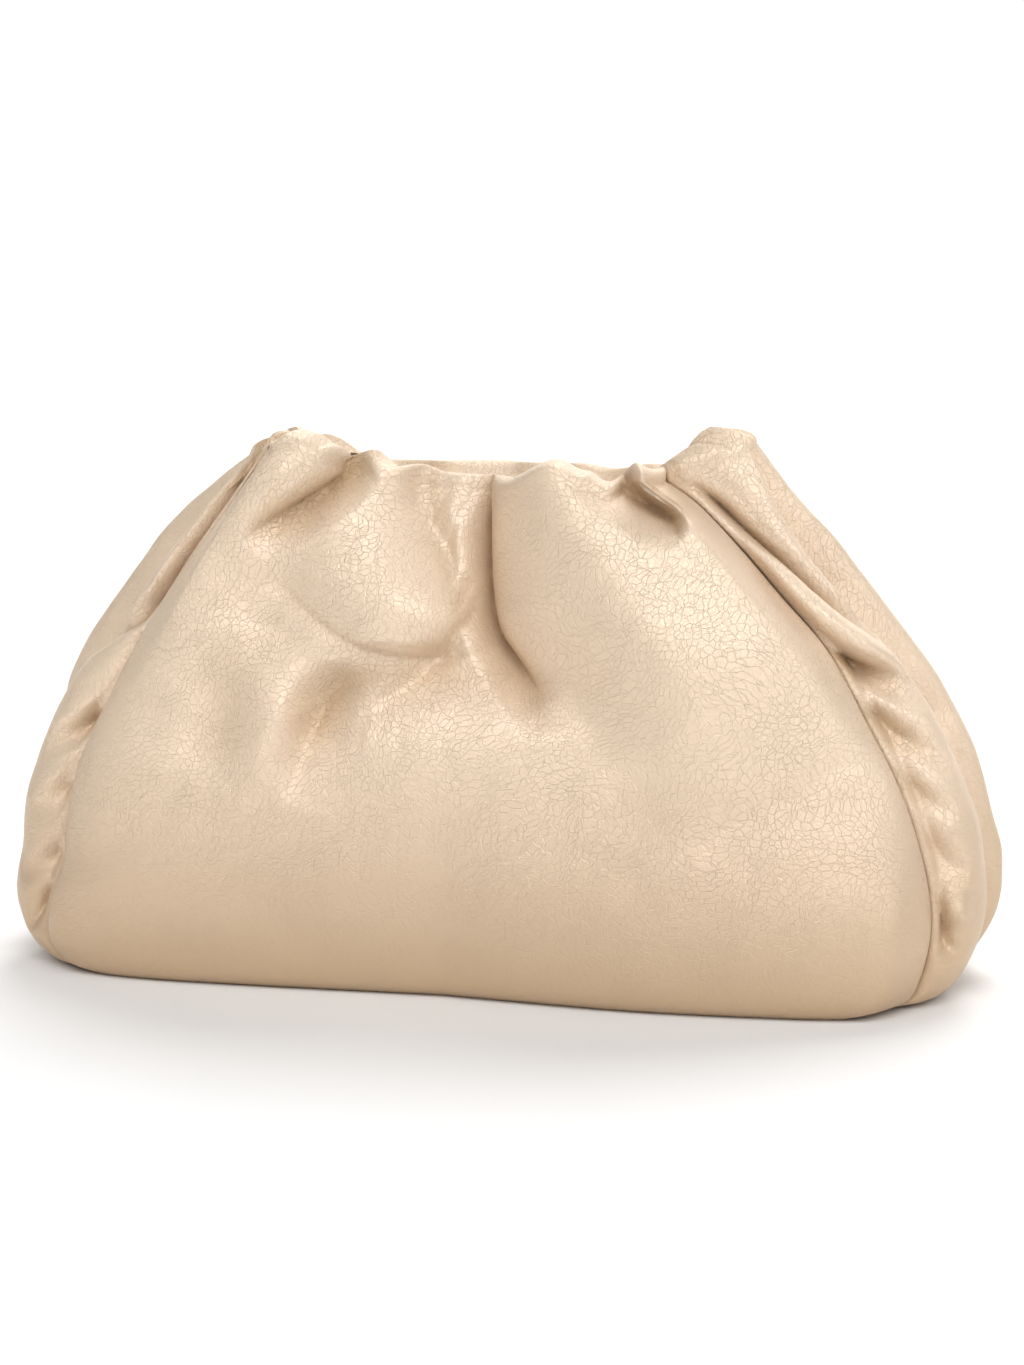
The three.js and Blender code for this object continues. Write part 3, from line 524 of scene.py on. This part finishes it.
def sinkSeams(x, y, z):  # turns the leather down into the seams at both ends of each row
    points = np.stack([x, y, z], axis=-1)
    steps = np.linalg.norm(np.diff(points, axis=1), axis=-1)
    fromLeft = np.concatenate([np.zeros((len(x), 1)), np.cumsum(steps, axis=1)], axis=1)
    ends = ((fromLeft, points[:, :1]), (fromLeft[:, -1:] - fromLeft, points[:, -1:]))
    fade = smooth((z - 0.3) / bag["seamFoot"]) * smooth((bag["seamTop"] - z) / bag["seamFade"])
    for distance, seam in ends:
        inward = np.concatenate([-np.sign(seam[..., :2]), 0 * seam[..., :1]], axis=-1) * bag["seamSlant"]
        depth = bag["seamGroove"] * foldShape("round", distance / bag["seamRound"])
        points = points + inward * (depth * fade)[..., None]
    return points[..., 0], points[..., 1], points[..., 2]


def makeLeather(name, sheet, outward):
    x, y, z, valleyShade = sheet
    x, y, z = sinkSeams(x, y, z)
    rows, columns = x.shape
    points = np.stack([x + bag["shift"][0], y + bag["shift"][1], np.maximum(z, 0)], axis=-1) / 1000
    index = np.arange(rows * columns).reshape(rows, columns)
    corners = [index[:-1, :-1], index[:-1, 1:], index[1:, 1:], index[1:, :-1]]
    if outward < 0:
        corners.reverse()
    faces = np.stack(corners, axis=-1).reshape(-1, 4)
    mesh = bpy.data.meshes.new(name)
    mesh.from_pydata(points.reshape(-1, 3).tolist(), [], faces.tolist())
    # the painted valley shade goes to the material as a point attribute
    layer = mesh.attributes.new("valleyShade", "FLOAT", "POINT")
    layer.data.foreach_set("value", valleyShade.ravel().astype(np.float32))
    piece = bpy.data.objects.new(name, mesh)
    bpy.context.scene.collection.objects.link(piece)
    bpy.ops.object.select_all(action="DESELECT")
    piece.select_set(True)
    bpy.context.view_layer.objects.active = piece
    wall = piece.modifiers.new("wall", "SOLIDIFY")
    wall.thickness = bag["wall"] / 1000
    wall.offset = -1
    bpy.ops.object.modifier_apply(modifier=wall.name)
    bpy.ops.object.shade_smooth()
    return piece


# --- materials
def linear(code):  # an sRGB hex value as linear light
    channels = [int(code[k : k + 2], 16) / 255 for k in (1, 3, 5)]
    return tuple(c / 12.92 if c <= 0.04045 else ((c + 0.055) / 1.055) ** 2.4 for c in channels) + (1,)


def addNode(tree, kind, settings=None, **links):
    node = tree.nodes.new(kind)
    for key, value in (settings or {}).items():
        if key in node.inputs:
            node.inputs[key].default_value = value
        else:
            setattr(node, key, value)
    for key, source in links.items():
        socket = node.inputs[int(key[1:])] if key[1:].isdigit() else node.inputs[key.replace("_", " ")]
        tree.links.new(source, socket)
    return node


def newMaterial(name):
    material = bpy.data.materials.new(name)
    material.use_nodes = True
    material.node_tree.nodes.clear()
    return material, material.node_tree


nappa = {
    "colour": "#E9D2B8",
    "shadeColour": "#BC9E7A",  # painted shade: the darker colour mixed in along the valleys and towards the base
    "metallic": 0.22,
    "roughness": 0.42,
    "specular": 0.72,
    "relief": 0.00016,  # metres from the top of the grain to the bottom of its lines
    "net": ((2.9, 0.06), (1.6, 0.1)),  # millimetres across a cell of the grain, and its lines' width
    "drift": ((45, 0.028), (5, 0.003)),  # the waves that bend the net: millimetres across, metres
    "streak": 2.4,  # between the fine lines along the stretch of the leather
    "pore": 1.1,
    "region": 60,  # between places with more and with less grain
}


def makeNappa():
    # Pearl-coated nappa: soft drum-dyed lambskin under a thin pearl film. The film gives broad satin
    # lights, and the drum leaves a fine net of crush lines that catch them.
    # Its colour carries painted shade: darker along the valleys and towards the base.
    material, tree = newMaterial("pearl_nappa")
    place = addNode(tree, "ShaderNodeTexCoord").outputs["Object"]
    valleyShade = addNode(tree, "ShaderNodeAttribute", {"attribute_name": "valleyShade"}).outputs["Fac"]
    bent = place
    for size, amount in nappa["drift"]:  # stretches the cells, and makes their lines wander
        drift = addNode(tree, "ShaderNodeTexNoise", {"Scale": 1000 / size, "Detail": 2.0}, Vector=place)
        moved = addNode(tree, "ShaderNodeVectorMath", {"operation": "MULTIPLY_ADD"},
                        _0=drift.outputs["Color"], _2=bent)
        moved.inputs[1].default_value = (amount, amount, amount)
        bent = moved.outputs[0]
    heights = []
    for size, width in nappa["net"]:
        cells = addNode(tree, "ShaderNodeTexVoronoi", {"feature": "DISTANCE_TO_EDGE", "Scale": 1000 / size},
                        Vector=bent)
        line = addNode(tree, "ShaderNodeMapRange", {"interpolation_type": "SMOOTHSTEP", "From Min": 0.0,
                       "From Max": width, "To Min": 1.0, "To Max": 0.0}, Value=cells.outputs["Distance"])
        patch = addNode(tree, "ShaderNodeTexNoise", {"Scale": 1000 / (size * 4), "Detail": 2.0}, Vector=place)
        broken = addNode(tree, "ShaderNodeMapRange", {"From Min": 0.3, "From Max": 0.55, "To Min": 0.7},
                         Value=patch.outputs["Fac"])
        heights.append(addNode(tree, "ShaderNodeMath", {"operation": "MULTIPLY"}, _0=line.outputs[0],
                               _1=broken.outputs[0]).outputs[0])
    long = addNode(tree, "ShaderNodeMapping", Vector=bent)
    long.inputs["Scale"].default_value = (1, 1, 0.25)
    veins = addNode(tree, "ShaderNodeTexNoise", {"Scale": 250 / nappa["streak"], "Detail": 3.0,
                    "Roughness": 0.6}, Vector=long.outputs[0])
    middle = addNode(tree, "ShaderNodeMath", {"operation": "SUBTRACT"}, _0=veins.outputs["Fac"])
    middle.inputs[1].default_value = 0.5
    near = addNode(tree, "ShaderNodeMath", {"operation": "ABSOLUTE"}, _0=middle.outputs[0])
    vein = addNode(tree, "ShaderNodeMapRange", {"interpolation_type": "SMOOTHSTEP", "From Min": 0.0,
                   "From Max": 0.03, "To Min": 1.0, "To Max": 0.0}, Value=near.outputs[0])
    pores = addNode(tree, "ShaderNodeTexNoise", {"Scale": 1000 / nappa["pore"], "Detail": 2.0},
                    Vector=place)
    total = heights[0]
    for source, share in ((heights[1], 0.4), (vein.outputs[0], 0.4), (pores.outputs["Fac"], -0.2)):
        step = addNode(tree, "ShaderNodeMath", {"operation": "MULTIPLY_ADD"}, _0=source, _2=total)
        step.inputs[1].default_value = share
        total = step.outputs[0]
    region = addNode(tree, "ShaderNodeTexNoise", {"Scale": 1000 / nappa["region"], "Detail": 1.0},
                     Vector=place)
    where = addNode(tree, "ShaderNodeMapRange", {"From Min": 0.38, "From Max": 0.62, "To Min": 0.85,
                    "To Max": 1.0}, Value=region.outputs["Fac"])
    parts = addNode(tree, "ShaderNodeSeparateXYZ", _0=place)
    stretched = addNode(tree, "ShaderNodeMapRange", {"From Min": 0.02, "From Max": 0.08, "To Min": 0.55},
                        Value=parts.outputs[2])  # pulled smooth over the base
    strength = addNode(tree, "ShaderNodeMath", {"operation": "MULTIPLY"},
                       _0=where.outputs[0], _1=stretched.outputs[0])
    bump = addNode(tree, "ShaderNodeBump", {"Distance": nappa["relief"], "invert": True}, Height=total,
                   Strength=strength.outputs[0])
    baseShade = addNode(tree, "ShaderNodeMapRange", {"From Min": 0.0, "From Max": 0.09, "To Min": 0.85,
                     "To Max": 0.0}, Value=parts.outputs[2])  # painted shade: the colour darkens towards the base
    # painted shade from the valleys and from the base together sets how much of the darker colour is mixed in
    paintedShade = addNode(tree, "ShaderNodeMath", {"operation": "MAXIMUM"}, _0=valleyShade, _1=baseShade.outputs[0])
    shadedColour = addNode(tree, "ShaderNodeMix", {"data_type": "RGBA"}, _0=paintedShade.outputs[0])
    shadedColour.inputs[6].default_value = linear(nappa["colour"])
    shadedColour.inputs[7].default_value = linear(nappa["shadeColour"])
    shader = addNode(tree, "ShaderNodeBsdfPrincipled", {"Metallic": nappa["metallic"],
                     "Roughness": nappa["roughness"], "Specular IOR Level": nappa["specular"]},
                     Normal=bump.outputs[0])
    tree.links.new(shadedColour.outputs[2], shader.inputs["Base Color"])
    out = addNode(tree, "ShaderNodeOutputMaterial")
    tree.links.new(shader.outputs[0], out.inputs[0])
    return material


def makeBrass():
    # Brushed brass strip of the hidden clasp
    material, tree = newMaterial("brushed_brass")
    place = addNode(tree, "ShaderNodeTexCoord").outputs["Object"]
    stretched = addNode(tree, "ShaderNodeMapping", Vector=place)
    stretched.inputs["Scale"].default_value = (60, 900, 900)
    lines = addNode(tree, "ShaderNodeTexNoise", {"Scale": 4.0, "Detail": 3.0}, Vector=stretched.outputs[0])
    bump = addNode(tree, "ShaderNodeBump", {"Distance": 0.00005, "Strength": 0.5},
                   Height=lines.outputs["Fac"])
    shader = addNode(tree, "ShaderNodeBsdfPrincipled", {"Metallic": 1.0, "Roughness": 0.32},
                     Normal=bump.outputs[0])
    shader.inputs["Base Color"].default_value = linear("#BBA079")
    out = addNode(tree, "ShaderNodeOutputMaterial")
    tree.links.new(shader.outputs[0], out.inputs[0])
    return material


leather = makeNappa()
brass = makeBrass()
print("materials made")

faceFlat = (0.4, 0.26)  # metres, the leather that each piece was cut from
sideFlat = (0.14, 0.24)
frontSheet = faceSheet(-1, frontRim, frontFolds, frontWrinkles, 250, 12, 148, 24)
backSheet = faceSheet(1, backRim, backFolds, [], 150, 10, 112, 20)
pieces = {  # points, which way the faces turn, the solid it stands for, flat size
    "leather_front": (frontSheet, 1, "front_panel", faceFlat),
    "leather_back": (backSheet, -1, "back_panel", faceFlat),
    "leather_right": (sideSheet(1, 140, 170, 22), 1, "right_gusset", sideFlat),
    "leather_left": (sideSheet(-1, 140, 170, 22), -1, "left_gusset", sideFlat),
}
for name, (sheet, outward, node, flat) in pieces.items():
    piece = makeLeather(name, sheet, outward)
    piece.data.materials.append(leather)
    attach(piece, "root")
    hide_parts(node)
    print(name, "made")

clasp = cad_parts["clasp_frame"]
clasp.data.materials.clear()
clasp.data.materials.append(brass)

# --- floor, camera and lights
bpy.ops.object.select_all(action="DESELECT")
bpy.ops.mesh.primitive_plane_add(size=12, location=(0, 0, -0.0004))
floor = bpy.context.object
floor.name = "floor"
bpy.ops.mesh.primitive_plane_add(size=16, location=(0, 6, 2), rotation=(radians(90), 0, 0))
backdrop = bpy.context.object
backdrop.name = "backdrop"
backdrop.visible_shadow = False  # or it would keep the back light off the floor
paper, tree = newMaterial("white_paper")
shader = addNode(tree, "ShaderNodeBsdfPrincipled", {"Roughness": 0.7, "Specular IOR Level": 0.2})
shader.inputs["Base Color"].default_value = linear("#EDEDED")
out = addNode(tree, "ShaderNodeOutputMaterial")
tree.links.new(shader.outputs[0], out.inputs[0])
floor.data.materials.append(paper)
glowing, tree = newMaterial("lit_backdrop")
glow = addNode(tree, "ShaderNodeEmission", {"Strength": 1.05})
out = addNode(tree, "ShaderNodeOutputMaterial")
tree.links.new(glow.outputs[0], out.inputs[0])
backdrop.data.materials.append(glowing)

view = {"azimuth": 11, "elevation": 10, "distance": 1.164, "lens": 79.12, "target": (0.00315, 0.00135, 0.095)}
turn, tilt = radians(view["azimuth"]), radians(view["elevation"])
away = Vector((sin(turn) * cos(tilt), -cos(turn) * cos(tilt), sin(tilt)))
lensData = bpy.data.cameras.new("camera")
lensData.lens = view["lens"]
lensData.sensor_width = 36
lensData.shift_y = 0.0289
camera = bpy.data.objects.new("camera", lensData)
camera.location = Vector(view["target"]) + away * view["distance"]
camera.rotation_euler = (-away).to_track_quat("-Z", "Y").to_euler()
bpy.context.scene.collection.objects.link(camera)
bpy.context.scene.camera = camera

lamps = {  # the direction the light comes from, in degrees from the front and above the floor
    "backLight": {"around": 172, "up": 52, "power": 2.0, "spread": 34},
    "keyLight": {"around": 13, "up": 44, "power": 1.75, "spread": 50},
    "sideLight": {"around": 62, "up": 34, "power": 0.7, "spread": 46},
    "fillLight": {"around": -40, "up": 42, "power": 0.42, "spread": 46},
}
for name, lamp in lamps.items():
    data = bpy.data.lights.new(name, "SUN")
    data.energy = lamp["power"]
    data.angle = radians(lamp["spread"])
    light = bpy.data.objects.new(name, data)
    around, up = radians(lamp["around"]), radians(lamp["up"])
    source = Vector((sin(around) * cos(up), -cos(around) * cos(up), sin(up)))
    light.rotation_euler = (-source).to_track_quat("-Z", "Y").to_euler()
    bpy.context.scene.collection.objects.link(light)

world = bpy.data.worlds.new("studio")
bpy.context.scene.world = world
world.use_nodes = True
world.node_tree.nodes["Background"].inputs[0].default_value = (1, 1, 1, 1)
world.node_tree.nodes["Background"].inputs[1].default_value = 0.1
bpy.context.scene.view_settings.view_transform = "Standard"
print("scene lit")
